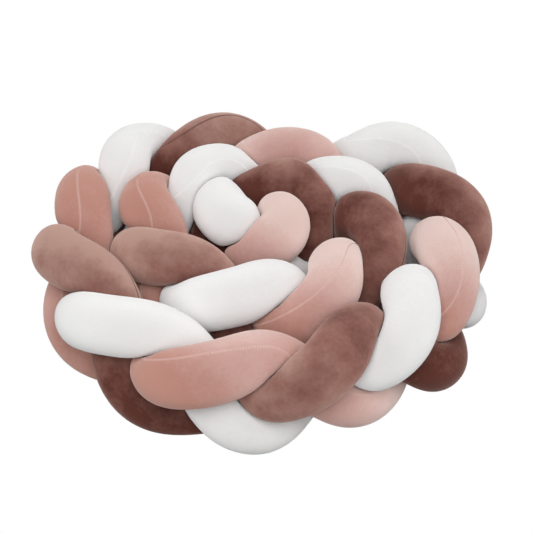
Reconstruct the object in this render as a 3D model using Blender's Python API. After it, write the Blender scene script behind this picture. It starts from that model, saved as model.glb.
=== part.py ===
"""A braided crib bumper: three stuffed plush tubes in a flat braid, set on edge and coiled up.

Metres, +Z up, the front at -Y. The coil stands on z = 0 with its middle at the origin. Each
tube is one solid. Its middle line follows the braid, which follows the coil, and its surface
is drawn in wherever it presses on a neighbour or on the ground.
"""

import math

import bpy
import numpy as np

# Driving sizes
TUBE_RADIUS = 0.034
RISE = 0.0475  # how far a tube climbs and sinks from the braid's middle height
GROUND_SQUASH = 0.005  # how deep the ground presses the lowest crests flat
TUBE_GAP = 0.0012  # between tubes that press on each other
OWN_REACH = 1.5  # crests along a tube, past which its own next turn counts as a neighbour

# The coil: a row for each crest of the braid, from the inner end outwards. The sway is how far a
# tube swings to and fro between the braid's two faces, and the lean is how far outwards the
# braid's upper edge tips.
CREST_COLUMNS = ("bearing_deg", "distance", "sway", "lean")
CRESTS = (
    (112, 0.190, 0.000, 0.000),
    (147, 0.056, 0.000, 0.000),
    (18, 0.030, 0.019, 0.000),
    (68, 0.103, 0.019, 0.000),
    (124, 0.141, 0.019, 0.000),
    (164, 0.148, 0.013, 0.000),
    (206, 0.125, 0.019, 0.000),
    (264, 0.116, 0.019, 0.000),
    (312, 0.126, 0.019, 0.000),
    (6, 0.137, 0.013, 0.000),
    (43, 0.141, 0.019, 0.000),
    (79, 0.165, 0.019, 0.000),
    (110, 0.205, 0.019, 0.000),
    (139, 0.235, 0.019, 0.000),
    (167, 0.230, 0.008, 0.000),
    (196, 0.226, 0.019, 0.005),
    (230, 0.223, 0.019, 0.007),
    (262, 0.232, 0.019, 0.010),
    (292, 0.215, 0.019, 0.015),
    (321, 0.224, 0.019, -0.006),
    (347, 0.231, 0.010, -0.004),
    (16, 0.236, 0.022, 0.000),
    (46, 0.245, 0.019, 0.000),
    (69, 0.215, 0.019, 0.000),
)
COIL_MIDDLE = (0.0028, -0.0172)  # of its box, which is moved to the origin

# The tubes: which crest of the table each one tops first, and the crests it runs between
TUBE_COLUMNS = ("name", "tops", "start", "end", "colour", "roughness")
TUBES = (
    ("strand_brown", 0, 0.70, 22.60, (0.270, 0.130, 0.098), 0.85),
    ("strand_white", 1, 0.50, 22.60, (0.800, 0.785, 0.765), 0.85),
    ("strand_pink", 2, 1.45, 22.30, (0.680, 0.365, 0.315), 0.85),
)

# Mesh density
SIDES = 14
RINGS_PER_CREST = 5.2
CAP_RINGS = 2  # between a tube's last full ring and its rounded tip
LINE_STEPS_PER_CREST = 24
NEIGHBOUR_REACH = 0.12  # no tube's surface meets a line that is further off than this

# How a tube is pressed: in rounds, testing a grid of points on each triangle
SAMPLE_STEPS = 3
PRESS_ROUNDS = 18
PRESS_SHARE = 0.8  # of a point's shortfall, shared out over its triangle's corners in a round


def clear_scene():
    for obj in list(bpy.data.objects):
        bpy.data.objects.remove(obj, do_unlink=True)


def crest_points():
    """The crests of the table as places on the ground, each with its sway and its lean."""
    rows = [dict(zip(CREST_COLUMNS, row, strict=True)) for row in CRESTS]
    bearing, distance, sway, lean = (np.array([row[name] for row in rows]) for name in CREST_COLUMNS)
    bearing = np.radians(bearing)
    middle_x, middle_y = COIL_MIDDLE
    x, y = np.cos(bearing) * distance - middle_x, np.sin(bearing) * distance - middle_y
    return np.column_stack([x, y, sway, lean])


def coil_line(at):
    """The coil's middle line, its heading, sway and lean at crest numbers, which may be fractions."""
    points = crest_points()
    before = 2 * points[0] - points[1]
    after = 2 * points[-1] - points[-2]
    points = np.vstack([before, points, after])
    first = np.clip(np.floor(at).astype(int), 0, len(CRESTS) - 2)
    t = (at - first)[:, None]
    p0, p1, p2, p3 = (points[first + k] for k in range(4))
    bend, twist = 2 * p0 - 5 * p1 + 4 * p2 - p3, 3 * p1 - p0 - 3 * p2 + p3
    found = (2 * p1 + (p2 - p0) * t + bend * t**2 + twist * t**3) / 2
    heading = (p2 - p0 + 2 * bend * t + 3 * twist * t**2)[:, :2]
    heading /= np.linalg.norm(heading, axis=1)[:, None]
    return found[:, :2], heading, found[:, 2], found[:, 3]


def tube_line(tube, at):
    """The middle line of one tube: the braid laid along the coil, on its edge."""
    place, heading, sway, lean = coil_line(at)
    outward = np.stack([heading[:, 1], -heading[:, 0]], axis=1)
    phase = math.pi / 2 + 2 * math.pi * (at - tube["tops"]) / len(TUBES)
    sideways = sway * np.sin(2 * phase) + lean * np.sin(phase)
    height = TUBE_RADIUS - GROUND_SQUASH + RISE * (1 + np.sin(phase))
    return np.column_stack([place + outward * sideways[:, None], height])


def frames(line):
    """The directions along, across and above a line that never runs straight up."""
    along = np.gradient(line, axis=0)
    along /= np.linalg.norm(along, axis=1)[:, None]
    across = np.cross(along, (0, 0, 1))
    across /= np.linalg.norm(across, axis=1)[:, None]
    return along, across, np.cross(across, along)


def dense_lines():
    """Each tube's middle line as many points, with the crest number of each."""
    lines = {}
    for tube in tubes():
        count = round((tube["end"] - tube["start"]) * LINE_STEPS_PER_CREST)
        at = np.linspace(tube["start"], tube["end"], count)
        lines[tube["name"]] = (at, tube_line(tube, at))
    return lines


def tube_rays(tube):
    """One tube's rings and two tips: the crest number, start and direction of every ray."""
    count = round((tube["end"] - tube["start"]) * RINGS_PER_CREST)
    at = np.linspace(tube["start"], tube["end"], count)
    line = tube_line(tube, at)
    along, across, above = frames(line)
    cap = np.linspace(0, math.pi / 2, CAP_RINGS + 2)[1:-1]
    station = np.repeat(np.arange(count), [CAP_RINGS + 1] + [1] * (count - 2) + [CAP_RINGS + 1])
    lean = np.concatenate([-cap[::-1], np.zeros(count), cap])[:, None, None]
    turn = (np.arange(SIDES) * 2 * math.pi / SIDES - math.pi / 2)[:, None]
    across, above = across[station][:, None], above[station][:, None]
    sideways = across * np.cos(turn) + above * np.sin(turn)
    rays = sideways * np.cos(lean) + along[station][:, None] * np.sin(lean)
    starts = np.repeat(line[station], SIDES, axis=0)
    return (
        np.concatenate([np.repeat(at[station], SIDES), at[[0, -1]]]),
        np.vstack([starts, line[[0, -1]]]),
        np.vstack([rays.reshape(-1, 3), -along[0], along[-1]]),
    )


def tube_triangles(rings):
    """The triangles between the rings, and from the end rings to the tips."""
    side = np.arange(SIDES)
    beside = (side + 1) % SIDES
    ring = np.arange(rings - 1)[:, None] * SIDES
    here, here_on = ring + side, ring + beside
    there, there_on = here + SIDES, here_on + SIDES
    last = (rings - 1) * SIDES
    first_tip, last_tip = np.full(SIDES, rings * SIDES), np.full(SIDES, rings * SIDES + 1)
    corners = (
        (here.ravel(), there_on.ravel(), here_on.ravel()),
        (here.ravel(), there.ravel(), there_on.ravel()),
        (side, beside, first_tip),
        (last + beside, last + side, last_tip),
    )
    return np.vstack([np.stack(each, axis=1) for each in corners])


def sample_weights():
    """Where each triangle is tested: a small grid of points on it, as shares of its corners."""
    steps = range(SAMPLE_STEPS + 1)
    grid = [(a, b, SAMPLE_STEPS - a - b) for a in steps for b in steps if a + b <= SAMPLE_STEPS]
    return np.array(grid) / SAMPLE_STEPS


def distance(points, targets):
    return np.linalg.norm(points[:, None] - targets[None], axis=2).min(axis=1)


def shortfall(points, at, centre, name, lines):
    """How much too near to a neighbouring line each point is, set against its own line."""
    own_at, own = lines[name]
    is_near = np.abs(own_at - at) < OWN_REACH
    others = np.vstack([line for other, (_, line) in lines.items() if other != name])
    others = np.vstack([others, own[~is_near]])
    others = others[np.linalg.norm(others - centre, axis=1) < NEIGHBOUR_REACH]
    if not len(others):
        return np.zeros(len(points))
    return TUBE_GAP - distance(points, others) + distance(points, own[is_near])


def pressed_lengths(tube, at, starts, rays, triangles, lines):
    """How far each ray runs once no point of a triangle is too near to a neighbour."""
    lengths = np.full(len(rays), TUBE_RADIUS)
    weights = sample_weights()
    groups = [triangles[at[triangles[:, 0]] == crest] for crest in np.unique(at)]
    for _ in range(PRESS_ROUNDS):
        points = starts + rays * lengths[:, None]
        press = np.zeros(len(rays))
        for group in groups:
            first = group[0, 0]
            samples = (weights @ points[group]).reshape(-1, 3)
            short = shortfall(samples, at[first], starts[first], tube["name"], lines)
            pull = (short.reshape(len(group), -1, 1) * weights).max(axis=1)
            np.maximum.at(press, group, pull)
        lengths -= press * PRESS_SHARE
    return lengths


def tubes():
    return [dict(zip(TUBE_COLUMNS, row, strict=True)) for row in TUBES]


def material(tube):
    mat = bpy.data.materials.new(tube["name"] + "_plush")
    mat.use_nodes = True
    shader = mat.node_tree.nodes["Principled BSDF"]
    shader.inputs["Base Color"].default_value = (*tube["colour"], 1.0)
    shader.inputs["Roughness"].default_value = tube["roughness"]
    shader.inputs["Metallic"].default_value = 0.0
    return mat


def make_tube(tube, lines):
    """One closed tube with rounded ends, pressed flat on its neighbours and the ground."""
    at, starts, rays = tube_rays(tube)
    triangles = tube_triangles((len(rays) - 2) // SIDES)
    lengths = pressed_lengths(tube, at, starts, rays, triangles, lines)
    points = starts + rays * lengths[:, None]
    points[:, 2] = np.maximum(points[:, 2], 0.0)
    mesh = bpy.data.meshes.new(tube["name"])
    mesh.from_pydata(points.tolist(), [], triangles.tolist())
    mesh.shade_smooth()
    mesh.materials.append(material(tube))
    obj = bpy.data.objects.new(tube["name"], mesh)
    bpy.context.scene.collection.objects.link(obj)


def main():
    clear_scene()
    lines = dense_lines()
    for tube in tubes():
        make_tube(tube, lines)


main()
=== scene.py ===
# %% [markdown]
# # A braided crib bumper
#
# The real thing is three long tubes of short-pile plush, stuffed with fibre and braided flat. The
# braid stands on its edge and is coiled up like a nest. We load the fixed frame first: it holds
# the three tubes as plain solids. Everything below only gives them their looks.

import math

import bmesh
import bpy
import numpy as np
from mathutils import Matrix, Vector, noise


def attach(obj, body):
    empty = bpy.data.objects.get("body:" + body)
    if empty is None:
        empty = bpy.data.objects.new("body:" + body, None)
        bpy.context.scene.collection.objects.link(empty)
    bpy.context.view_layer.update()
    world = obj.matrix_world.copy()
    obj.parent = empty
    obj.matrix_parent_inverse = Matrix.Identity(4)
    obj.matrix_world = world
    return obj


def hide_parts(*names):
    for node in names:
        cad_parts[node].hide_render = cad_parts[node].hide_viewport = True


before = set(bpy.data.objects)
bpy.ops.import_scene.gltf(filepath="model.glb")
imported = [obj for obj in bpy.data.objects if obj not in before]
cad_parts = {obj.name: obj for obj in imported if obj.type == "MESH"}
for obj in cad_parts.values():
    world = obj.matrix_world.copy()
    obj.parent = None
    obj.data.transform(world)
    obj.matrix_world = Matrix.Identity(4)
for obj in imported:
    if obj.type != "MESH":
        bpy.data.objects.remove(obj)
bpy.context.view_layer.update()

# %% [markdown]
# ## The route of the braid
#
# A tube on this scale could be drawn as a free curve, but its crossings would soon cut into each
# other. A flat braid obeys a simple rule instead. Seen along the braid, every tube traces the
# same figure of eight, and the three tubes follow each other a third of a turn apart. So the
# route is written as that rule, laid along a coil that is given with one row for each crest.
#
# In the coil's table, the sway is how far a tube swings to and fro between the braid's two
# faces, and the lean is how far outwards the braid's upper edge tips. In the table of tubes, the
# first number is the crest that a tube tops first, and the last two are the crests it runs between.

# %% The sizes that the braid is worked out from
TUBE_RADIUS = 0.034
RISE = 0.0475  # how far a tube climbs and sinks from the braid's middle height
GROUND_SQUASH = 0.005  # how deep the ground presses the lowest crests flat
MIDDLE_HEIGHT = TUBE_RADIUS - GROUND_SQUASH + RISE
COIL_MIDDLE = (0.0028, -0.0172)  # of its box, which is moved to the origin

CREST_COLUMNS = ("bearing_deg", "distance", "sway", "lean")
CRESTS = (
    (112, 0.190, 0.000, 0.000),
    (147, 0.056, 0.000, 0.000),
    (18, 0.030, 0.019, 0.000),
    (68, 0.103, 0.019, 0.000),
    (124, 0.141, 0.019, 0.000),
    (164, 0.148, 0.013, 0.000),
    (206, 0.125, 0.019, 0.000),
    (264, 0.116, 0.019, 0.000),
    (312, 0.126, 0.019, 0.000),
    (6, 0.137, 0.013, 0.000),
    (43, 0.141, 0.019, 0.000),
    (79, 0.165, 0.019, 0.000),
    (110, 0.205, 0.019, 0.000),
    (139, 0.235, 0.019, 0.000),
    (167, 0.230, 0.008, 0.000),
    (196, 0.226, 0.019, 0.005),
    (230, 0.223, 0.019, 0.007),
    (262, 0.232, 0.019, 0.010),
    (292, 0.215, 0.019, 0.015),
    (321, 0.224, 0.019, -0.006),
    (347, 0.231, 0.010, -0.004),
    (16, 0.236, 0.022, 0.000),
    (46, 0.245, 0.019, 0.000),
    (69, 0.215, 0.019, 0.000),
)

TUBE_COLUMNS = ("name", "tops", "start", "end")
TUBE_ROWS = (
    ("brown", 0, 0.70, 22.60),
    ("white", 1, 0.50, 22.60),
    ("pink", 2, 1.45, 22.30),
)


def named_rows(columns, rows):
    """The rows of a table, each as a dictionary."""
    return [dict(zip(columns, row, strict=True)) for row in rows]


tubes = named_rows(TUBE_COLUMNS, TUBE_ROWS)
print(len(CRESTS), "crests in the coil,", len(tubes), "tubes")


# %% The middle line of the coil
def crest_points():
    """Each crest's place on the ground, its sway and its lean, with a row added at both ends."""
    rows = named_rows(CREST_COLUMNS, CRESTS)
    bearing, distance, sway, lean = (np.array([row[name] for row in rows]) for name in CREST_COLUMNS)
    bearing = np.radians(bearing)
    middle_x, middle_y = COIL_MIDDLE
    x, y = np.cos(bearing) * distance - middle_x, np.sin(bearing) * distance - middle_y
    points = np.column_stack([x, y, sway, lean])
    return np.vstack([2 * points[0] - points[1], points, 2 * points[-1] - points[-2]])


def coil_line(at):
    """The coil's middle line, its heading, sway and lean at crest numbers, which may be fractions."""
    points = crest_points()
    first = np.clip(np.floor(at).astype(int), 0, len(CRESTS) - 2)
    t = (at - first)[:, None]
    p0, p1, p2, p3 = (points[first + k] for k in range(4))
    bend, twist = 2 * p0 - 5 * p1 + 4 * p2 - p3, 3 * p1 - p0 - 3 * p2 + p3
    found = (2 * p1 + (p2 - p0) * t + bend * t**2 + twist * t**3) / 2
    heading = (p2 - p0 + 2 * bend * t + 3 * twist * t**2)[:, :2]
    heading /= np.linalg.norm(heading, axis=1)[:, None]
    return found[:, :2], heading, found[:, 2], found[:, 3]


def metres_along(line):
    """How far along a line of points each point is."""
    spans = np.linalg.norm(np.diff(line, axis=0), axis=1)
    return np.concatenate([[0.0], np.cumsum(spans)])


STEPS_PER_CREST = 32
coil_at = np.linspace(1, len(CRESTS) - 1, len(CRESTS) * STEPS_PER_CREST)
print("the braid is about", round(metres_along(coil_line(coil_at)[0])[-1], 2), "m long")


# %% The middle line of each tube
def tube_line(tube, at):
    """The middle line of one tube: the braid laid along the coil, on its edge."""
    place, heading, sway, lean = coil_line(at)
    outward = np.stack([heading[:, 1], -heading[:, 0]], axis=1)
    phase = math.pi / 2 + 2 * math.pi * (at - tube["tops"]) / len(tubes)
    sideways = sway * np.sin(2 * phase) + lean * np.sin(phase)
    height = MIDDLE_HEIGHT + RISE * np.sin(phase)
    return np.column_stack([place + outward * sideways[:, None], height])


for tube in tubes:
    steps = round((tube["end"] - tube["start"]) * STEPS_PER_CREST)
    tube["line_at"] = np.linspace(tube["start"], tube["end"], steps)
    tube["line"] = tube_line(tube, tube["line_at"])
    tube["line_metres"] = metres_along(tube["line"])
    tube["length"] = float(tube["line_metres"][-1])
    print(tube["name"], "tube: middle line", round(tube["length"], 2), "m long")

# %% [markdown]
# ## A straight sleeve
#
# Each tube starts as it does at the sewing machine: a straight sleeve, closed by one seam along
# its length and rounded off at both ends. A swept curve would give the same wall in one go, but
# no single edge to sew. So a cylinder primitive gives the wall. Cutting its long edges gives it
# rings, and each end is extruded in shrinking rings and merged to a point. One long edge is
# bevelled into three lines for the seam: its middle is sunk later, when the tube is full.

# %% Choose vertices and edges by their place
SIDES = 32
RINGS = (20, 20)  # the long edges are cut in this many pieces, and those again in this many
NEAR = 0.0001


def select_vertices(mesh_object, chosen):
    """Selects the vertices where chosen is true, and nothing else, ready for edit mode."""
    mesh = mesh_object.data
    for part in (mesh.vertices, mesh.edges, mesh.polygons):
        part.foreach_set("select", np.zeros(len(part), dtype=bool))
    mesh.vertices.foreach_set("select", chosen)


def select_edges(mesh_object, wanted):
    """In edit mode, selects just the edges whose two ends satisfy wanted(start, end)."""
    bpy.ops.mesh.select_mode(type="EDGE")
    bpy.ops.mesh.select_all(action="DESELECT")
    cage = bmesh.from_edit_mesh(mesh_object.data)
    for edge in cage.edges:
        start, end = (vertex.co for vertex in edge.verts)
        edge.select_set(bool(wanted(start, end)))
    bmesh.update_edit_mesh(mesh_object.data)


def vertex_places(mesh_object):
    places = np.empty(len(mesh_object.data.vertices) * 3)
    mesh_object.data.vertices.foreach_get("co", places)
    return places.reshape(-1, 3)


def runs_along(start, end):
    return abs(start.x - end.x) > NEAR


def is_seam(start, end):
    return runs_along(start, end) and start.y > 0 and abs(start.z) + abs(end.z) < NEAR


ring_mm = [round(1000 * tube["length"] / math.prod(RINGS), 1) for tube in tubes]
print("a sleeve's rings lie", ring_mm, "mm apart")

# %% Make the sleeves
CAP_RINGS = 6
SEAM_HALF_WIDTH = 0.0011


def round_off(sleeve, end, outward):
    """Extrudes the open ring at one end of the sleeve into a dome."""
    select_vertices(sleeve, np.abs(vertex_places(sleeve)[:, 0] - end) < NEAR)
    bpy.ops.object.mode_set(mode="EDIT")
    lean = np.linspace(0, math.pi / 2, CAP_RINGS + 2)
    for before, after in zip(lean[:-1], lean[1:], strict=True):
        step = outward * TUBE_RADIUS * (math.sin(after) - math.sin(before))
        bpy.ops.mesh.extrude_edges_move(TRANSFORM_OT_translate={"value": (step, 0, 0)})
        shrink = max(math.cos(after), 0.0) / math.cos(before)
        bpy.ops.transform.resize(value=(1, shrink, shrink))
    bpy.ops.mesh.merge(type="CENTER")
    bpy.ops.object.mode_set(mode="OBJECT")


def straight_sleeve(name, length):
    """A closed sleeve along X from 0 to its length, with a seam line and a dome at each end."""
    bpy.ops.object.select_all(action="DESELECT")
    bpy.ops.mesh.primitive_cylinder_add(
        vertices=SIDES,
        radius=TUBE_RADIUS,
        depth=length,
        end_fill_type="NOTHING",
        rotation=(0, math.pi / 2, 0),
        location=(length / 2, 0, 0),
    )
    sleeve = bpy.context.object
    sleeve.name = name
    bpy.ops.object.transform_apply(location=True, rotation=True, scale=True)
    bpy.ops.object.mode_set(mode="EDIT")
    select_edges(sleeve, is_seam)
    bpy.ops.mesh.bevel(offset=SEAM_HALF_WIDTH, segments=2, affect="EDGES")
    for pieces in RINGS:
        select_edges(sleeve, runs_along)
        bpy.ops.mesh.subdivide(number_cuts=pieces - 1)
    bpy.ops.mesh.select_mode(type="VERT")
    bpy.ops.object.mode_set(mode="OBJECT")
    round_off(sleeve, 0.0, -1)
    round_off(sleeve, length, 1)
    return sleeve


for tube in tubes:
    tube["piece"] = straight_sleeve("plush_tube_" + tube["name"], tube["length"])
    mesh = tube["piece"].data
    print(tube["piece"].name, len(mesh.vertices), "vertices,", len(mesh.polygons), "faces")

# %% [markdown]
# ## Where the seams face
#
# Nobody braids with every seam facing down, so on the real thing the seams wander in and out of
# sight. A twist that grows evenly would look like a screw. Instead, a short table says which way
# a seam faces at crest numbers along its tube, in degrees: 0 faces the coil's outside, 90 faces up
# and 180 faces inwards. Between the rows the seam turns evenly, and then it is smoothed.

# %% The tables of the seams' turns
SEAMS = {
    "brown": (
        (0.5, -60),
        (3.0, 20),
        (6.0, -60),
        (9.0, 20),
        (11.5, 74),
        (12.0, 92),
        (12.5, 94),
        (15.0, 130),
        (15.5, 143),
        (18.0, 175),
        (21.0, 230),
    ),
    "white": (
        (0.5, 170),
        (3.7, 124),
        (4.0, 128),
        (4.3, 114),
        (7.0, 160),
        (9.6, 100),
        (9.9, 113),
        (10.2, 104),
        (12.0, 108),
        (13.3, 118),
        (13.6, 142),
        (16.0, 170),
        (19.0, 170),
        (21.0, 136),
        (21.6, 122),
        (21.9, 137),
        (22.1, 125),
        (22.4, 93),
    ),
    "pink": (
        (1.5, -60),
        (3.0, -30),
        (4.8, 74),
        (5.2, 72),
        (7.3, 28),
        (7.6, 62),
        (7.8, 79),
        (8.1, 68),
        (8.5, 74),
        (11.0, 50),
        (13.7, 78),
        (14.2, 86),
        (14.8, 80),
        (16.4, 48),
        (16.7, 78),
        (16.9, 87),
        (17.1, 69),
        (17.4, 57),
        (18.1, 44),
        (19.4, 51),
        (19.7, 66),
        (20.2, 84),
    ),
}
print("rows in the tables of turns:", [len(table) for table in SEAMS.values()])

# %% Turn each seam
SEAM_SMOOTH_STEPS = 9


def read_off(table, at):
    """The value at crest numbers, from a table of crest numbers and values."""
    crests, values = np.array(table, dtype=float).T
    return np.interp(at, crests, values)


def evened_out(values, width):
    """Each value replaced by the mean of those around it."""
    ends = np.pad(values, width // 2, mode="edge")
    return np.convolve(ends, np.ones(width) / width, "valid")


for tube in tubes:
    turn = np.radians(read_off(SEAMS[tube["name"]], tube["line_at"]))
    tube["seam_turn"] = evened_out(turn, SEAM_SMOOTH_STEPS)
    low, high = np.degrees(tube["seam_turn"].min()), np.degrees(tube["seam_turn"].max())
    print(tube["name"], "seam faces", round(low), "to", round(high), "degrees")

# %% [markdown]
# ## Bend the sleeve along its route
#
# The Curve modifier carries a long straight piece along a curve, as the hands of the person who
# braids do. Its other merit is the curve's tilt, which turns the sleeve about its own line on the
# way and so puts the seam where it should face. An armature could bend it too, but a tube of
# twenty crossings would need hundreds of bones.


# %% Bend each sleeve
def apply_modifier(piece, modifier):
    bpy.ops.object.select_all(action="DESELECT")
    bpy.context.view_layer.objects.active = piece
    piece.select_set(True)
    bpy.ops.object.modifier_apply(modifier=modifier.name)


def route_curve(tube):
    """The tube's middle line as a curve object, tilted so that the seam lies where it should."""
    curve = bpy.data.curves.new("route_" + tube["name"], "CURVE")
    curve.dimensions = "3D"
    curve.twist_mode = "Z_UP"
    spline = curve.splines.new("POLY")
    spline.points.add(len(tube["line"]) - 1)
    for point, place, turn in zip(spline.points, tube["line"], tube["seam_turn"], strict=True):
        point.co = (*place, 1.0)
        point.tilt = math.pi - turn
    route = bpy.data.objects.new(curve.name, curve)
    bpy.context.scene.collection.objects.link(route)
    return route


for tube in tubes:
    route = route_curve(tube)
    straight = vertex_places(tube["piece"])
    tube["along"] = straight[:, 0]
    tube["around"] = np.arctan2(straight[:, 2], straight[:, 1]) % (2 * math.pi)
    bend = tube["piece"].modifiers.new("Bend", "CURVE")
    bend.object = route
    bend.deform_axis = "POS_X"
    apply_modifier(tube["piece"], bend)
    bpy.data.objects.remove(route, do_unlink=True)
    heights = vertex_places(tube["piece"])[:, 2]
    print(tube["piece"].name, "now from", round(heights.min(), 3), "to", round(heights.max(), 3))

# %% [markdown]
# ## Press the tubes on each other
#
# Stuffed tubes that are braided flatten where they meet, and the wall between them lies half-way
# between their middle lines. Boolean cuts could part them, but would leave ragged edges. So each
# vertex is looked at along its ray from the middle line, and moved in if a neighbour's line, or
# the ground, leaves less room than the tube's radius. A hard limit would leave a crisp edge round
# each flat, so the two lengths are blended. The stuffing has to go somewhere: where a ring is
# squeezed, the rest of it grows a little fatter. Slow noise makes the stuffing a little uneven,
# as fibre filling is.

# %% The rays of each tube
OWN_REACH = 1.5  # crests along a tube, past which its own next turn counts as a neighbour
NEIGHBOUR_REACH = 0.12  # no tube's surface meets a line that is further off than this


def rays_of(tube, places):
    """Each vertex's middle point, crest number, and direction and distance from that point."""
    metres = tube["line_metres"]
    centres = [np.interp(tube["along"], metres, tube["line"][:, axis]) for axis in range(3)]
    centres = np.stack(centres, axis=1)
    reach = np.linalg.norm(places - centres, axis=1)
    crests = np.interp(tube["along"], metres, tube["line_at"])
    return centres, crests, (places - centres) / reach[:, None], reach


for tube in tubes:
    tube["along"] = np.clip(tube["along"], 0, tube["length"])
    reach = rays_of(tube, vertex_places(tube["piece"]))[3]
    print(tube["name"], "vertices reach out", round(1000 * np.median(reach), 1), "mm")

# %% The room that each tube has before it meets a neighbour
CHUNK = 192  # vertices worked on at a time
NO_LIMIT = 1.0
DOWN = np.array((0.0, 0.0, -1.0))
WALL_GAP = 0.0006  # between two tubes that press on each other


def room_along(tube, centres, crests, rays):
    """How far each ray runs before a neighbouring line, or the ground, stops it."""
    lines = np.vstack([other["line"] for other in tubes])
    line_crests = np.concatenate([other["line_at"] for other in tubes])
    is_own = np.concatenate([np.full(len(other["line"]), other is tube) for other in tubes])
    drop = rays @ DOWN
    room = np.full(len(rays), NO_LIMIT)
    np.divide(centres[:, 2], drop, out=room, where=drop > 0)
    order = np.argsort(crests)
    for chunk in np.array_split(order, math.ceil(len(order) / CHUNK)):
        middle = centres[chunk].mean(axis=0)
        spread = np.linalg.norm(centres[chunk] - middle, axis=1).max()
        near = np.linalg.norm(lines - middle, axis=1) < NEIGHBOUR_REACH + spread
        away = lines[near] - centres[chunk][:, None]
        towards = np.einsum("nmk,nk->nm", away, rays[chunk])
        apart = np.abs(line_crests[near] - crests[chunk][:, None])
        towards[is_own[near] & (apart < OWN_REACH)] = 0
        halfway = np.full(towards.shape, NO_LIMIT)
        np.divide((away**2).sum(axis=2), 2 * towards, out=halfway, where=towards > 0)
        room[chunk] = np.minimum(room[chunk], halfway.min(axis=1))
    return room - WALL_GAP / 2


for tube in tubes:
    centres, crests, rays, _ = rays_of(tube, vertex_places(tube["piece"]))
    tube["room"] = room_along(tube, centres, crests, rays)
    tight = 1000 * tube["room"].min()
    print(tube["name"], "has", round(tight, 1), "mm of room at its tightest")

# %% Press each tube
CREASE_SOFTNESS = 0.0018  # how widely the edge of a flat is rounded
SLIM = 0.0012  # how much thinner a tube starts than it ends, before the stuffing swells it
SWELL = 0.06  # how much fatter the free part of a ring grows, for the share that is squeezed away
SMOOTH_RINGS = 9  # the swelling is evened out over this many rings
RING_DIGITS = 5  # vertices whose places along agree to this many decimals share a ring
LUMPS = ((0.085, 0.0009), (0.034, 0.0004))  # the size of the stuffing's lumps, and their height
LUMP_SHIFT = 7.0  # so that no two tubes have the same lumps


def blended(reach, room, softness):
    """The smaller of two lengths, with a rounded corner where they cross."""
    low = np.minimum(reach, room)
    return low - softness * np.log1p(np.exp(-np.abs(reach - room) / softness))


def lumps_at(tube, places):
    seed = Vector((tube["tops"] * LUMP_SHIFT, 0.0, 0.0))
    heights = np.zeros(len(places))
    for size, height in LUMPS:
        heights += [height * noise.noise(Vector(place) / size + seed) for place in places]
    return heights


def stuffed_reach(tube):
    """How far a tube that is squeezed in places reaches out, ring by ring."""
    squeeze = np.clip(1 - tube["room"] / TUBE_RADIUS, 0, None)
    _, member = np.unique(np.round(tube["along"], RING_DIGITS), return_inverse=True)
    share = np.bincount(member, squeeze) / np.bincount(member)
    share = evened_out(share, SMOOTH_RINGS)
    return (TUBE_RADIUS - SLIM) * (1 + SWELL * share[member])


def reshape(tube, places):
    tube["piece"].data.vertices.foreach_set("co", places.ravel())
    tube["piece"].data.update()


for tube in tubes:
    places = vertex_places(tube["piece"])
    centres, _, rays, _ = rays_of(tube, places)
    reach = stuffed_reach(tube) + lumps_at(tube, places)
    tube["held"] = np.clip((reach - tube["room"]) / CREASE_SOFTNESS, 0, 1)
    reshape(tube, centres + rays * blended(reach, tube["room"], CREASE_SOFTNESS)[:, None])
    share = round(100 * (tube["held"] > 0).mean())
    print(tube["piece"].name, "pressed over", share, "% of its surface")

# %% [markdown]
# ## Swell the stuffing
#
# A pressed tube still looks carved. Real stuffing pushes the cloth out wherever nothing holds it,
# so the free cloth domes up between the creases. Blender's Cloth does that with a little
# pressure and no gravity. The cloth that a neighbour holds is pinned, which also keeps the
# tube from straightening like a hose. No voxel remesh comes first, because it would weld a tube
# to its own next turn; the sleeve's rings are already even. The move of each vertex is capped.

# %% Swell each tube
PRESSURE = 300.0
CLOTH_STIFFNESS = 1.0
CLOTH_SHEAR = CLOTH_STIFFNESS / 3
CLOTH_BENDING = 0.02
CLOTH_VERTEX_MASS = 0.001
SWELL_FRAMES = 12
SWELL_CAP = 0.003
LEAST_MOVE = SWELL_CAP / 1000  # smaller moves are divided by this, so that none is divided by 0


def stuffing_pressure(tube):
    """A Cloth modifier that blows the tube up, pinned where its neighbours hold it."""
    held = tube["piece"].vertex_groups.new(name="held")
    for number, weight in enumerate(tube["held"]):
        held.add([number], float(weight), "REPLACE")
    stuffing = tube["piece"].modifiers.new("Stuffing", "CLOTH")
    cloth = stuffing.settings
    cloth.use_pressure = True
    cloth.uniform_pressure_force = PRESSURE
    cloth.effector_weights.gravity = 0
    cloth.mass = CLOTH_VERTEX_MASS
    cloth.tension_stiffness = CLOTH_STIFFNESS
    cloth.compression_stiffness = CLOTH_STIFFNESS
    cloth.shear_stiffness = CLOTH_SHEAR
    cloth.bending_stiffness = CLOTH_BENDING
    cloth.vertex_group_mass = held.name
    return stuffing


def swollen(tube):
    """The tube's vertices once the pressure has moved them, by no more than the cap."""
    piece = tube["piece"]
    before = vertex_places(piece)
    stuffing = stuffing_pressure(tube)
    for frame_number in range(1, SWELL_FRAMES + 1):
        bpy.context.scene.frame_set(frame_number)
    apply_modifier(piece, stuffing)
    piece.vertex_groups.clear()
    move = vertex_places(piece) - before
    far = np.linalg.norm(move, axis=1)
    kept = np.minimum(far, SWELL_CAP) / np.maximum(far, LEAST_MOVE)
    print(piece.name, "swollen by", np.round(np.percentile(far, (50, 90, 100)) * 1000, 2), "mm")
    return before + move * kept[:, None]


for tube in tubes:
    tube["places"] = swollen(tube)

# %% [markdown]
# ## Stitch the seam down
#
# A sewn seam is a shallow groove with the cloth standing up a little on both sides, since two
# thicknesses are folded in behind it. It could be left to a bump texture, but then the outline
# wouldn't show it. So the bevelled line of vertices is sunk, and those beside it are raised. The
# tubes are pressed once more with it, so that none swells into its neighbour or the ground.

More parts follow.
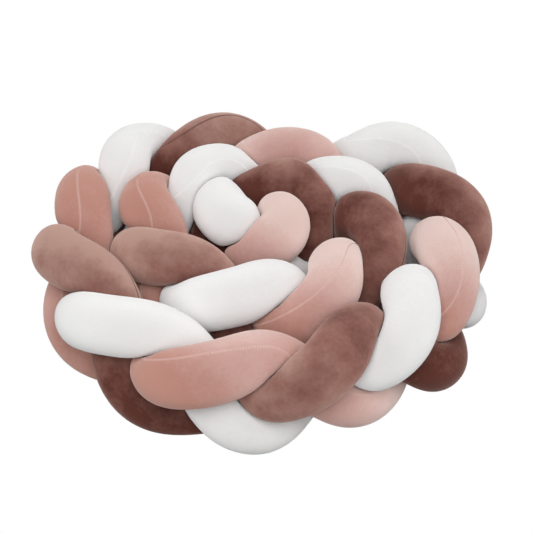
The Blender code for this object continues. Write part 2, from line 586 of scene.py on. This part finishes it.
# %% Sink each seam and press once more
LAST_SOFTNESS = 0.0008
SEAM_DEPTH = 0.0008  # how far the seam's middle is sunk
SEAM_RIDGE = {"brown": 0.0010, "white": 0.0016, "pink": 0.0010}  # how far the seam stands out
SEAM_RIDGE_WIDTH = 0.008
FREE_ROOM = TUBE_RADIUS * 1.2  # with more room than this, nothing presses on the cloth


def sew_down(tube, reach):
    """The reach of each ray with the seam's ridge raised and its middle sunk."""
    off_seam = TUBE_RADIUS * np.minimum(tube["around"], 2 * math.pi - tube["around"])
    tube["on_seam"] = off_seam < SEAM_HALF_WIDTH / 2
    ridge = SEAM_RIDGE[tube["name"]] * np.exp(-off_seam / SEAM_RIDGE_WIDTH)
    return reach + ridge - SEAM_DEPTH * tube["on_seam"]


for tube in tubes:
    centres, crests, rays, reach = rays_of(tube, tube["places"])
    room = room_along(tube, centres, crests, rays)
    reach = blended(sew_down(tube, reach), room, LAST_SOFTNESS)
    places = centres + rays * reach[:, None]
    places[:, 2] = np.maximum(places[:, 2], 0.0)
    reshape(tube, places)
    tube["places"], tube["outward"] = places, rays
    free = np.percentile(reach[room > FREE_ROOM], (10, 50, 90))
    print(tube["piece"].name, "free radius", np.round(free * 1000, 1), "mm")

# %% [markdown]
# ## Painted light and shade
#
# Plush looks paler where its fibres lean one way and deeper where they lean the other, as the
# light catches them. Here that light and shade is painted into the colour. Real fibres would take
# millions of hairs, so the tone is kept as one number for each vertex: 0 is the cloth's middle
# tone, +0.5 its lightest and -0.5 its deepest, and what goes past them looks the same as they do.
# Attributes on a mesh travel through a Subdivision Surface, so they are set before it.
#
# Three things add up to it, and all three are painted light and shade. The tone turns with the
# tube's heading: "along" has a share for each of X, Y and Z. It turns with the way the cloth faces:
# that is "across". And it grows with the height above the braid's middle, so that the low turns
# are painted darker: that is "per_metre_up".

# %% Paint light and shade into each tube's tone
# painted light and shade: how each tube's colour is made paler or deeper by heading, facing and
# height
PAINTED_SHADING_COLUMNS = ("name", "along", "across", "per_metre_up")
PAINTED_SHADING_ROWS = (
    ("brown", (0.14, -0.39, 0.37), (0.21, 0.33, -0.29), 6.0),
    ("white", (0.00, -0.10, 0.10), (0.00, 0.00, 0.00), 0.5),
    ("pink", (-0.13, 0.50, -0.20), (0.00, 0.25, 0.00), 0.0),
)
shading_rules = {pile_and_shading["name"]: pile_and_shading for pile_and_shading in named_rows(PAINTED_SHADING_COLUMNS, PAINTED_SHADING_ROWS)}

for tube in tubes:
    pile_and_shading = shading_rules[tube["name"]]
    heading = np.gradient(tube["line"], axis=0)
    heading /= np.linalg.norm(heading, axis=1)[:, None]
    # painted light and shade by the tube's heading and facing, and painted shade lower down
    heading_light = np.interp(tube["along"], tube["line_metres"], heading @ pile_and_shading["along"])
    up = tube["places"][:, 2] - MIDDLE_HEIGHT
    tube["painted_shading_and_tone"] = heading_light + tube["outward"] @ pile_and_shading["across"] + up * pile_and_shading["per_metre_up"]
    print(tube["name"], "nap from", round(tube["painted_shading_and_tone"].min(), 2), "to", round(tube["painted_shading_and_tone"].max(), 2))

# %% [markdown]
# ## Patches of tone
#
# Patches with soft edges, paler or deeper than the cloth beside them, lie along the pink and the
# brown tubes. Noise would put such patches anywhere, so a table of crest numbers and tones puts
# them at given crests. The deeper pink patch at crest 17.4 is painted shade, where that tube meets
# its neighbour. The white has none.

# %% Add the patches of tone, with painted shade on the pink
TONE_PATCHES = {
    "brown": (
        (2.3, -0.30),
        (2.8, 0.00),
        (7.9, 0.00),
        (8.2, -0.20),
        (8.6, 0.00),
        (17.7, 0.00),
        (18.1, -0.12),
        (18.6, 0.00),
    ),
    "white": ((0.0, 0.00),),
    "pink": (
        (1.4, 0.25),
        (1.9, 0.55),
        (2.2, 0.10),
        (2.6, 0.00),
        (14.6, 0.00),
        (15.0, 0.20),
        (15.8, 0.00),
        (17.0, 0.00),
        (17.4, -0.30),
        (17.9, 0.00),
        (18.5, 0.30),
        (19.0, 0.00),
        (19.4, -0.30),
        (19.8, 0.05),
    ),
}

for tube in tubes:
    # patches of tone; the deeper one on the pink at crest 17.4 is painted shade where it meets its
    # neighbour
    crests = np.interp(tube["along"], tube["line_metres"], tube["line_at"])
    patch_tone = read_off(TONE_PATCHES[tube["name"]], crests)
    tube["painted_shading_and_tone"] += patch_tone
    print(tube["name"], "brushed over", round(100 * (patch_tone != 0).mean()), "% of its surface")

# %% [markdown]
# ## Smooth the sleeve
#
# The sleeve's small faces still show at its outline. One level of Subdivision Surface rounds them
# off. More levels would only add triangles, because the rings are already close together. The
# seam's line is marked here too, and shows less on pink: it gets a colour of its own, dark on the
# brown, and a painted highlight on the white and the pink.

# %% Mark the seams and subdivide
# the seam's colour is dark on brown, and a painted highlight on white and pink
SEAM_MARK = {"brown": 1.0, "white": 1.0, "pink": 0.4}  # how plainly the seam's line shows
SMOOTH_LEVELS = 1


def set_attribute(mesh, name, values):
    attribute = mesh.attributes.new(name, "FLOAT", "POINT")
    attribute.data.foreach_set("value", values)


for tube in tubes:
    set_attribute(tube["piece"].data, "painted_shading_and_tone", tube["painted_shading_and_tone"])
    set_attribute(tube["piece"].data, "seam", tube["on_seam"] * SEAM_MARK[tube["name"]])
    smooth = tube["piece"].modifiers.new("Smooth", "SUBSURF")
    smooth.levels = SMOOTH_LEVELS
    smooth.render_levels = SMOOTH_LEVELS
    apply_modifier(tube["piece"], smooth)
    tube["piece"].data.shade_smooth()
    print(tube["piece"].name, "has", 2 * len(tube["piece"].data.polygons), "triangles")

# %% [markdown]
# ## Stitches
#
# The seam is sewn from inside, and only a small bar of thread shows across the groove at each
# stitch. An array along a curve would tip the bars over where the tube twists. So one bar is
# modelled from a cylinder with a pinched middle, and copied along the seam, each copy turned so
# that it bridges the groove and lies flat on the cloth there.

# %% One stitch
STITCH_LENGTH = 0.0022
STITCH_RADIUS = 0.00034
STITCH_SIDES = 6
STITCH_PARTS = 3  # the bar is cut in this many parts, and the outer ones taper
STITCH_TAPER = 0.7


def one_stitch():
    """A bar of thread along X with tapered ends, as its points and its faces."""
    bpy.ops.object.select_all(action="DESELECT")
    bpy.ops.mesh.primitive_cylinder_add(
        vertices=STITCH_SIDES,
        radius=STITCH_RADIUS,
        depth=STITCH_LENGTH,
        end_fill_type="NGON",
        rotation=(0, math.pi / 2, 0),
    )
    stitch = bpy.context.object
    bpy.ops.object.transform_apply(location=True, rotation=True, scale=True)
    bpy.ops.object.mode_set(mode="EDIT")
    select_edges(stitch, runs_along)
    bpy.ops.mesh.subdivide(number_cuts=STITCH_PARTS - 1)
    bpy.ops.object.mode_set(mode="OBJECT")
    places = vertex_places(stitch)
    at_end = np.abs(places[:, 0]) > STITCH_LENGTH / STITCH_PARTS
    places[at_end, 1:] *= STITCH_TAPER
    places[at_end, 2] -= STITCH_RADIUS
    faces = [list(face.vertices) for face in stitch.data.polygons]
    bpy.data.objects.remove(stitch, do_unlink=True)
    return places, faces


bar, bar_faces = one_stitch()
print("one stitch has", len(bar), "vertices and", len(bar_faces), "faces")

# %% Sew the seams
STITCH_PITCH = 0.0034
STITCH_LIFT = 0.0005  # above the bottom of the groove


def unit(vectors):
    return vectors / np.linalg.norm(vectors, axis=1)[:, None]


def stitch_places(tube):
    """Where each stitch goes, and the directions across the seam, along it and out of the cloth."""
    along_tube = tube["along"]
    chosen = np.flatnonzero(tube["on_seam"] & (along_tube > 0) & (along_tube < tube["length"]))
    chosen = chosen[np.argsort(along_tube[chosen])]
    line, outward = tube["places"][chosen], tube["outward"][chosen]
    metres = metres_along(line)
    stations = np.arange(STITCH_PITCH, metres[-1], STITCH_PITCH)
    centre, up, along = (
        np.stack([np.interp(stations, metres, values[:, axis]) for axis in range(3)], axis=1)
        for values in (line, outward, np.gradient(line, metres, axis=0))
    )
    across = unit(np.cross(up, along))
    up = unit(np.cross(along, across))
    return centre + up * STITCH_LIFT, np.stack([across, np.cross(across, up), up], axis=1)


def sew(tube):
    """A row of stitches along one tube's seam, as one piece."""
    centres, turns = stitch_places(tube)
    places = centres[:, None] + np.einsum("nkc,pk->npc", turns, bar)
    starts = np.arange(len(centres)) * len(bar)
    faces = [[start + corner for corner in face] for start in starts for face in bar_faces]
    mesh = bpy.data.meshes.new("seam_stitches_" + tube["name"])
    mesh.from_pydata(places.reshape(-1, 3).tolist(), [], faces)
    mesh.shade_smooth()
    stitches = bpy.data.objects.new(mesh.name, mesh)
    bpy.context.scene.collection.objects.link(stitches)
    print(stitches.name, "has", len(centres), "stitches")
    return stitches


for tube in tubes:
    tube["stitches"] = sew(tube)

# %% [markdown]
# ## Plush
#
# The cloth is velvet-like plush: short fibres that stand up and lean a little. Three things
# make it read as plush. Its colour shifts in soft patches where it was stroked, and with the
# light and shade painted into it. Its surface is a fine grain of fibre tips. And at grazing angles
# the tips catch the light in a pale bloom, which is what the shader's sheen is for. One node group
# makes the first two for all three colours, so that they are one cloth in three dyes.
#
# The group adds the painted light and shade, a slow noise for the strokes and a finer one for the
# tufts to one tone. The tone then runs from the deep colour through the middle one to the light one.

# %% Helpers that place nodes
NODE_SPACING = (200, 180)


def node_at(tree, kind, column, row, **settings):
    node = tree.nodes.new(kind)
    node.location = (column * NODE_SPACING[0], -row * NODE_SPACING[1])
    for key, value in settings.items():
        setattr(node, key, value)
    return node


def noise_node(tree, coordinates, size, detail, row):
    texture = node_at(tree, "ShaderNodeTexNoise", 1, row)
    texture.inputs["Scale"].default_value = 1 / size
    texture.inputs["Detail"].default_value = detail
    tree.links.new(coordinates, texture.inputs["Vector"])
    return texture.outputs["Fac"]


def math_node(tree, operation, first, second, column, row):
    node = node_at(tree, "ShaderNodeMath", column, row, operation=operation)
    for socket, value in zip(node.inputs, (first, second), strict=False):
        if isinstance(value, (int, float)):
            socket.default_value = value
        else:
            tree.links.new(value, socket)
    return node.outputs[0]


def color_mix(tree, share, first, second, column, row):
    node = node_at(tree, "ShaderNodeMix", column, row, data_type="RGBA", clamp_factor=True)
    for socket, value in (("Factor", share), ("A", first), ("B", second)):
        tree.links.new(value, node.inputs[socket])
    return node.outputs["Result"]


print("nodes are laid out", NODE_SPACING, "apart in the node editor")

# %% The tone of the plush, and its colour
STROKE_NOISE = (0.030, 3.0)  # the size of a patch in metres, and its detail
TUFT_CONTRAST = 0.25
HALF = 0.5  # the mean of a noise, and the tone of the middle colour


def plush_tone(group, given, tufts):
    """The tone at each point: 0 is the deep colour, 0.5 the middle one and 1 the light one."""
    strokes = noise_node(group, given["Vector"], *STROKE_NOISE, 0)
    stroke = math_node(group, "SUBTRACT", strokes, HALF, 2, 0)
    stroke = math_node(group, "MULTIPLY", stroke, given["Stroke Strength"], 3, 0)
    tuft = math_node(group, "SUBTRACT", tufts, HALF, 2, 2)
    tuft = math_node(group, "MULTIPLY", tuft, TUFT_CONTRAST, 3, 2)
    tone = math_node(group, "ADD", stroke, given["Painted_shading_and_tone"], 4, 0)
    tone = math_node(group, "ADD", tone, tuft, 4, 1)
    return math_node(group, "ADD", tone, HALF, 5, 0)


def plush_color(group, given, tone):
    """The colour for each tone, with the seam's colour on its line: dark on brown, a painted
    highlight on white and pink.
    """
    low = math_node(group, "DIVIDE", tone, HALF, 5, 1)
    high = math_node(group, "SUBTRACT", low, 1.0, 5, 2)
    color = color_mix(group, low, given["Deep"], given["Middle"], 6, 0)
    color = color_mix(group, high, color, given["Light"], 6, 1)
    return color_mix(group, given["Seam"], color, given["Seam Color And Highlight"], 6, 2)


print("a stroked patch is about", round(100 * STROKE_NOISE[0]), "cm across")

# %% The plush node group
PLUSH_INPUTS = {
    "Vector": "Vector",
    "Painted_shading_and_tone": "Float",
    "Seam": "Float",
    "Seam Color And Highlight": "Color",
    "Deep": "Color",
    "Middle": "Color",
    "Light": "Color",
    "Stroke Strength": "Float",
}
PLUSH_OUTPUTS = {"Color": "Color", "Roughness": "Float", "Height": "Float"}
TUFT_NOISE = (0.0045, 2.0)
FIBRE_NOISE = (0.0009, 1.0)
ROUGHNESS = (0.75, 0.2)  # the least, and how much the fibres add
PILE_SHARES = (0.6, 0.4)  # of the pile's relief: the tufts' and the fibres'


def plush_group():
    group = bpy.data.node_groups.new("plush", "ShaderNodeTree")
    for direction, sockets in (("INPUT", PLUSH_INPUTS), ("OUTPUT", PLUSH_OUTPUTS)):
        for name, kind in sockets.items():
            group.interface.new_socket(name, in_out=direction, socket_type="NodeSocket" + kind)
    given = node_at(group, "NodeGroupInput", 0, 0).outputs
    tufts = noise_node(group, given["Vector"], *TUFT_NOISE, 1)
    fibres = noise_node(group, given["Vector"], *FIBRE_NOISE, 2)
    least, spread = ROUGHNESS
    rough = math_node(group, "MULTIPLY", fibres, spread, 5, 3)
    coarse = math_node(group, "MULTIPLY", tufts, PILE_SHARES[0], 5, 4)
    fine = math_node(group, "MULTIPLY", fibres, PILE_SHARES[1], 5, 5)
    made = {
        "Color": plush_color(group, given, plush_tone(group, given, tufts)),
        "Roughness": math_node(group, "ADD", rough, least, 6, 3),
        "Height": math_node(group, "ADD", coarse, fine, 6, 4),
    }
    outside = node_at(group, "NodeGroupOutput", 7, 0)
    for name, socket in made.items():
        group.links.new(socket, outside.inputs[name])
    return group


plush = plush_group()
print(plush.name, "group:", len(plush.nodes), "nodes")

# %% [markdown]
# ## Three dyes
#
# The tubes are one cloth in brown, white and pink. Each dye is a row of colours from the deep
# tone to the light one, with the colour of its seam. The tone runs between them with noise and
# with the painted light and shade, so the deep colour is partly painted shade and the light one
# partly painted light. The seam's colour is dark on the brown, and a painted highlight on the
# white and the pink. The brown is strongly stroked and the white hardly at all. Plush has next to
# no mirror gloss, so the specular level is low, and the sheen carries a tint of the dye. Those
# are the same all over the cloth, so they sit on the shader's own sockets.

# %% The colours of the three dyes
# deep and light are partly painted shade and painted light; the seam colour is a painted highlight on
# white and pink
PLUSH_COLUMNS = ("name", "deep", "middle", "light", "seam_color", "stroke", "sheen", "sheen_tint")
PLUSH_ROWS = (
    (
        "brown",
        (0.125, 0.040, 0.030),
        (0.310, 0.147, 0.119),
        (0.485, 0.300, 0.250),
        (0.110, 0.045, 0.035),
        0.9,
        0.40,
        (1.0, 0.78, 0.70),
    ),
    (
        "white",
        (0.740, 0.725, 0.715),
        (0.820, 0.815, 0.810),
        (0.870, 0.865, 0.860),
        (0.900, 0.900, 0.900),
        0.3,
        0.10,
        (1.0, 1.0, 1.0),
    ),
    (
        "pink",
        (0.540, 0.282, 0.228),
        (0.645, 0.420, 0.380),
        (0.750, 0.585, 0.540),
        (0.860, 0.680, 0.630),
        0.4,
        0.35,
        (1.0, 0.88, 0.84),
    ),
)
dyes = {dye["name"]: dye for dye in named_rows(PLUSH_COLUMNS, PLUSH_ROWS)}
print("dyes:", ", ".join(dyes))

# %% The three plush materials
GROUP_COLORS = {"Deep": "deep", "Middle": "middle", "Light": "light", "Seam Color And Highlight": "seam_color"}
PILE_HEIGHT = 0.0008
PILE_BUMP = 0.6
SHEEN_ROUGHNESS = 0.35
PLUSH_GLOSS = 0.1
FULLY_MATT = 1.0


def plush_material(dye):
    material = bpy.data.materials.new(dye["name"] + "_plush")
    material.use_nodes = True
    tree = material.node_tree
    pile_and_shading = node_at(tree, "ShaderNodeGroup", -3, 0, node_tree=plush)
    place = node_at(tree, "ShaderNodeTexCoord", -5, 0)
    tree.links.new(place.outputs["Object"], pile_and_shading.inputs["Vector"])
    # the mesh's painted light and shade, and the seam's mark, are read here
    for row, name in enumerate(("painted_shading_and_tone", "seam"), start=1):
        mark = node_at(tree, "ShaderNodeAttribute", -5, row, attribute_name=name)
        tree.links.new(mark.outputs["Fac"], pile_and_shading.inputs[name.capitalize()])
    for socket, name in GROUP_COLORS.items():
        pile_and_shading.inputs[socket].default_value = (*dye[name], 1.0)
    pile_and_shading.inputs["Stroke Strength"].default_value = dye["stroke"]
    bump = node_at(tree, "ShaderNodeBump", -1, 1)
    bump.inputs["Distance"].default_value = PILE_HEIGHT
    bump.inputs["Strength"].default_value = PILE_BUMP
    tree.links.new(pile_and_shading.outputs["Height"], bump.inputs["Height"])
    shader = tree.nodes["Principled BSDF"].inputs
    tree.links.new(pile_and_shading.outputs["Color"], shader["Base Color"])
    tree.links.new(pile_and_shading.outputs["Roughness"], shader["Roughness"])
    tree.links.new(bump.outputs["Normal"], shader["Normal"])
    shader["Specular IOR Level"].default_value = PLUSH_GLOSS
    shader["Diffuse Roughness"].default_value = FULLY_MATT
    shader["Sheen Weight"].default_value = dye["sheen"]
    shader["Sheen Roughness"].default_value = SHEEN_ROUGHNESS
    shader["Sheen Tint"].default_value = (*dye["sheen_tint"], 1.0)
    return material


for tube in tubes:
    tube["material"] = plush_material(dyes[tube["name"]])
    tube["piece"].data.materials.clear()
    tube["piece"].data.materials.append(tube["material"])
    tube["stitches"].data.materials.append(tube["material"])
    print(tube["material"].name, "on", tube["piece"].name)

# %% [markdown]
# ## Say what each piece stands for
#
# The frame's three solids are there to be weighed and measured, and the pieces made here are there
# to be seen. So each full tube replaces its own solid and rides on the same body, the root. The
# stitches replace nothing and ride along. There are no other bodies, because cloth has no joints.

# %% Ride and replace
for tube in tubes:
    node = "strand_" + tube["name"]
    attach(tube["piece"], "root")
    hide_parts(node)
    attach(tube["stitches"], "root")
    print(tube["piece"].name, "stands for", node, "and carries", tube["stitches"].name)

# %% [markdown]
# ## Studio
#
# A soft thing is best shown in soft light, on a floor and in surroundings of pure white. A white
# floor would throw so much light back up that the creases lost their depth. So the floor and the
# surroundings are white only to the camera. To the light they are dim, by a Light Path node that
# picks one of two shaders.

# %% Floor and surroundings
FLOOR_SIZE = 12.0
FLOOR_DROP = 0.0005  # below the object, so that the two don't flicker
FLOOR_BOUNCE = 0.30
SURROUND_STRENGTH = 0.04
WHITE = (1.0, 1.0, 1.0, 1.0)


def white_when_seen(tree, dim, white, output):
    """Shows the camera the white shader, and lights the object with the dim one."""
    seen = node_at(tree, "ShaderNodeLightPath", 0, -1)
    mix = node_at(tree, "ShaderNodeMixShader", 2, 0)
    tree.links.new(seen.outputs["Is Camera Ray"], mix.inputs["Fac"])
    tree.links.new(dim.outputs[0], mix.inputs[1])
    tree.links.new(white.outputs[0], mix.inputs[2])
    tree.links.new(mix.outputs["Shader"], output.inputs["Surface"])


def floor_material():
    material = bpy.data.materials.new("pale_floor")
    material.use_nodes = True
    tree = material.node_tree
    dim = tree.nodes["Principled BSDF"]
    dim.inputs["Base Color"].default_value = (FLOOR_BOUNCE, FLOOR_BOUNCE, FLOOR_BOUNCE, 1.0)
    dim.inputs["Roughness"].default_value = FULLY_MATT
    dim.inputs["Specular IOR Level"].default_value = 0.0
    white = node_at(tree, "ShaderNodeEmission", 0, 1)
    white_when_seen(tree, dim, white, tree.nodes["Material Output"])
    return material


def surroundings():
    world = bpy.data.worlds.new("studio")
    world.use_nodes = True
    tree = world.node_tree
    dim = tree.nodes["Background"]
    white = node_at(tree, "ShaderNodeBackground", 0, 1)
    for background in (dim, white):
        background.inputs["Color"].default_value = WHITE
    dim.inputs["Strength"].default_value = SURROUND_STRENGTH
    white_when_seen(tree, dim, white, tree.nodes["World Output"])
    return world


bpy.ops.object.select_all(action="DESELECT")
bpy.ops.mesh.primitive_plane_add(size=FLOOR_SIZE, location=(0, 0, -FLOOR_DROP))
floor = bpy.context.object
floor.name = "floor"
floor.data.materials.append(floor_material())
bpy.context.scene.world = surroundings()
bpy.context.scene.view_settings.view_transform = "Standard"
print("the floor is", FLOOR_SIZE, "m wide")

# %% [markdown]
# ## Light
#
# Five broad round lamps stand about the object, as soft boxes do in a studio. One strong lamp
# would give hard shadows, and an even sky would give none. The key comes from above and in
# front, and the others fill the sides and the back, so that the coil looks well all round.

# %% Light the object
LIGHT_SIZE = 1.6
LIGHT_AIM = Vector((0, 0, 0.08))
LIGHT_COLUMNS = ("name", "place", "watts")
LIGHT_ROWS = (
    ("key", (0, -1.2, 2.0), 27.0),
    ("front", (0, -2.0, 1.2), 16.0),
    ("right", (2.0, 0, 1.1), 14.0),
    ("left", (-2.0, 0, 1.1), 11.0),
    ("back", (0, 2.0, 1.2), 28.0),
)


def aimed(place, aim):
    """The turn of a lamp or camera at place that looks at aim."""
    return (aim - Vector(place)).to_track_quat("-Z", "Y").to_euler()


for lamp in named_rows(LIGHT_COLUMNS, LIGHT_ROWS):
    data = bpy.data.lights.new(lamp["name"], "AREA")
    data.shape = "DISK"
    data.size = LIGHT_SIZE
    data.energy = lamp["watts"]
    light = bpy.data.objects.new(lamp["name"], data)
    light.location = lamp["place"]
    light.rotation_euler = aimed(lamp["place"], LIGHT_AIM)
    bpy.context.scene.collection.objects.link(light)
print(len(LIGHT_ROWS), "lamps,", sum(row[-1] for row in LIGHT_ROWS), "W in all")

# %% [markdown]
# ## Camera
#
# The coil is best seen from a little above, where every crest and the gaps between the turns
# show. A long lens from further off keeps the near crests from looking bigger than the far ones.

# %% Place the camera
CAMERA_PLACE = (-0.0028, -1.256, 1.1295)
CAMERA_AIM = Vector((0.0027, 0.0027, 0.08))
LENS_MM = 89.8
SENSOR_MM = 36.0
camera_data = bpy.data.cameras.new("camera")
camera_data.sensor_width = SENSOR_MM
camera_data.lens = LENS_MM
camera = bpy.data.objects.new("camera", camera_data)
camera.location = CAMERA_PLACE
camera.rotation_euler = aimed(CAMERA_PLACE, CAMERA_AIM)
bpy.context.scene.collection.objects.link(camera)
bpy.context.scene.camera = camera
print("the camera is", round((CAMERA_AIM - camera.location).length, 2), "m from what it looks at")
